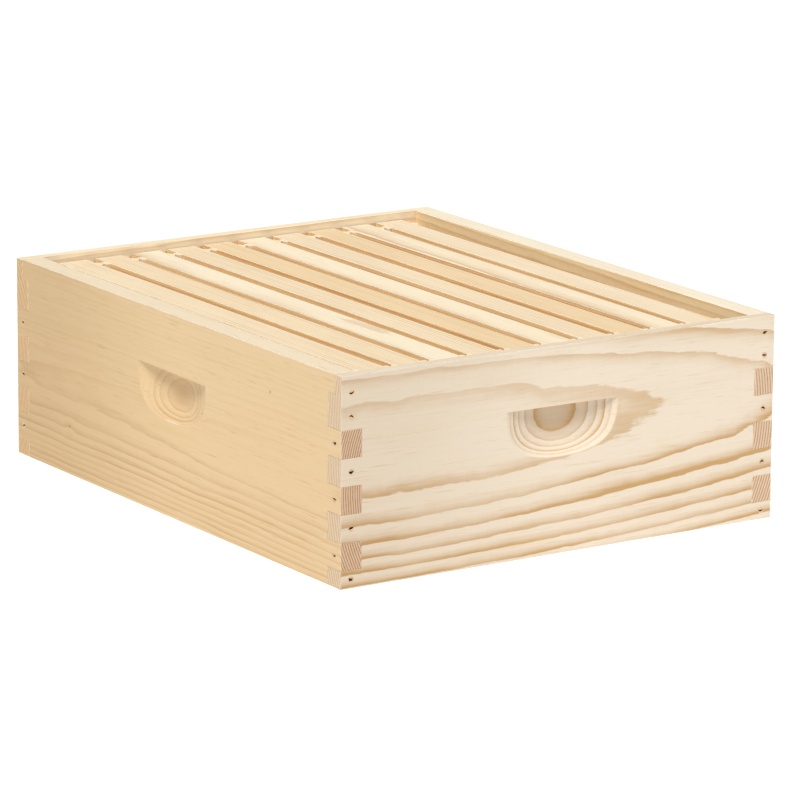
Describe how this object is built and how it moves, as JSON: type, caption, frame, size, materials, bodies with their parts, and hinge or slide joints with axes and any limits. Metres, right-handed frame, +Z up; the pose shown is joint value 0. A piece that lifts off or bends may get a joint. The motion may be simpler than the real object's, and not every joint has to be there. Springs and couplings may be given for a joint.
{
  "type": "beehive super",
  "caption": "Open-ended wooden beehive box with finger-jointed corners and scooped handholds, holding lift-out hanging frames with foundation.",
  "frame": {"origin": "middle of the box's footprint, on its bottom edge", "axes": "+X across the frames, +Y along the frames towards the back board, +Z up"},
  "size_m": [0.4128, 0.5048, 0.1683],
  "materials": {
    "end_board_pine": "bare planed softwood",
    "side_board_pine": "bare planed softwood",
    "frame_pine": "bare planed softwood",
    "nail_steel": "dull, lightly rusted",
    "waxed_foundation": "beeswax coated"
  },
  "bodies": {
    "hive_body": {"front_board": "end_board_pine", "back_board": "end_board_pine", "left_board": "side_board_pine", "right_board": "side_board_pine", "corner_nails": "nail_steel"},
    "frame_1": {"frame_1_top_bar": "frame_pine", "frame_1_front_end_bar": "frame_pine", "frame_1_back_end_bar": "frame_pine", "frame_1_bottom_bar": "frame_pine", "frame_1_foundation": "waxed_foundation"},
    "frame_2": {"frame_2_top_bar": "frame_pine", "frame_2_front_end_bar": "frame_pine", "frame_2_back_end_bar": "frame_pine", "frame_2_bottom_bar": "frame_pine", "frame_2_foundation": "waxed_foundation"},
    "frame_3": {"frame_3_top_bar": "frame_pine", "frame_3_front_end_bar": "frame_pine", "frame_3_back_end_bar": "frame_pine", "frame_3_bottom_bar": "frame_pine", "frame_3_foundation": "waxed_foundation"},
    "frame_4": {"frame_4_top_bar": "frame_pine", "frame_4_front_end_bar": "frame_pine", "frame_4_back_end_bar": "frame_pine", "frame_4_bottom_bar": "frame_pine", "frame_4_foundation": "waxed_foundation"},
    "frame_5": {"frame_5_top_bar": "frame_pine", "frame_5_front_end_bar": "frame_pine", "frame_5_back_end_bar": "frame_pine", "frame_5_bottom_bar": "frame_pine", "frame_5_foundation": "waxed_foundation"},
    "frame_6": {"frame_6_top_bar": "frame_pine", "frame_6_front_end_bar": "frame_pine", "frame_6_back_end_bar": "frame_pine", "frame_6_bottom_bar": "frame_pine", "frame_6_foundation": "waxed_foundation"},
    "frame_7": {"frame_7_top_bar": "frame_pine", "frame_7_front_end_bar": "frame_pine", "frame_7_back_end_bar": "frame_pine", "frame_7_bottom_bar": "frame_pine", "frame_7_foundation": "waxed_foundation"},
    "frame_8": {"frame_8_top_bar": "frame_pine", "frame_8_front_end_bar": "frame_pine", "frame_8_back_end_bar": "frame_pine", "frame_8_bottom_bar": "frame_pine", "frame_8_foundation": "waxed_foundation"},
    "frame_9": {"frame_9_top_bar": "frame_pine", "frame_9_front_end_bar": "frame_pine", "frame_9_back_end_bar": "frame_pine", "frame_9_bottom_bar": "frame_pine", "frame_9_foundation": "waxed_foundation"},
    "frame_10": {"frame_10_top_bar": "frame_pine", "frame_10_front_end_bar": "frame_pine", "frame_10_back_end_bar": "frame_pine", "frame_10_bottom_bar": "frame_pine", "frame_10_foundation": "waxed_foundation"}
  },
  "joints": [
    {"name": "frame_1_lift", "type": "slide", "parent": "hive_body", "child": "frame_1", "axis": [0, 0, 1], "range_m": [0, 0.2]},
    {"name": "frame_2_lift", "type": "slide", "parent": "hive_body", "child": "frame_2", "axis": [0, 0, 1], "range_m": [0, 0.2]},
    {"name": "frame_3_lift", "type": "slide", "parent": "hive_body", "child": "frame_3", "axis": [0, 0, 1], "range_m": [0, 0.2]},
    {"name": "frame_4_lift", "type": "slide", "parent": "hive_body", "child": "frame_4", "axis": [0, 0, 1], "range_m": [0, 0.2]},
    {"name": "frame_5_lift", "type": "slide", "parent": "hive_body", "child": "frame_5", "axis": [0, 0, 1], "range_m": [0, 0.2]},
    {"name": "frame_6_lift", "type": "slide", "parent": "hive_body", "child": "frame_6", "axis": [0, 0, 1], "range_m": [0, 0.2]},
    {"name": "frame_7_lift", "type": "slide", "parent": "hive_body", "child": "frame_7", "axis": [0, 0, 1], "range_m": [0, 0.2]},
    {"name": "frame_8_lift", "type": "slide", "parent": "hive_body", "child": "frame_8", "axis": [0, 0, 1], "range_m": [0, 0.2]},
    {"name": "frame_9_lift", "type": "slide", "parent": "hive_body", "child": "frame_9", "axis": [0, 0, 1], "range_m": [0, 0.2]},
    {"name": "frame_10_lift", "type": "slide", "parent": "hive_body", "child": "frame_10", "axis": [0, 0, 1], "range_m": [0, 0.2]}
  ]
}
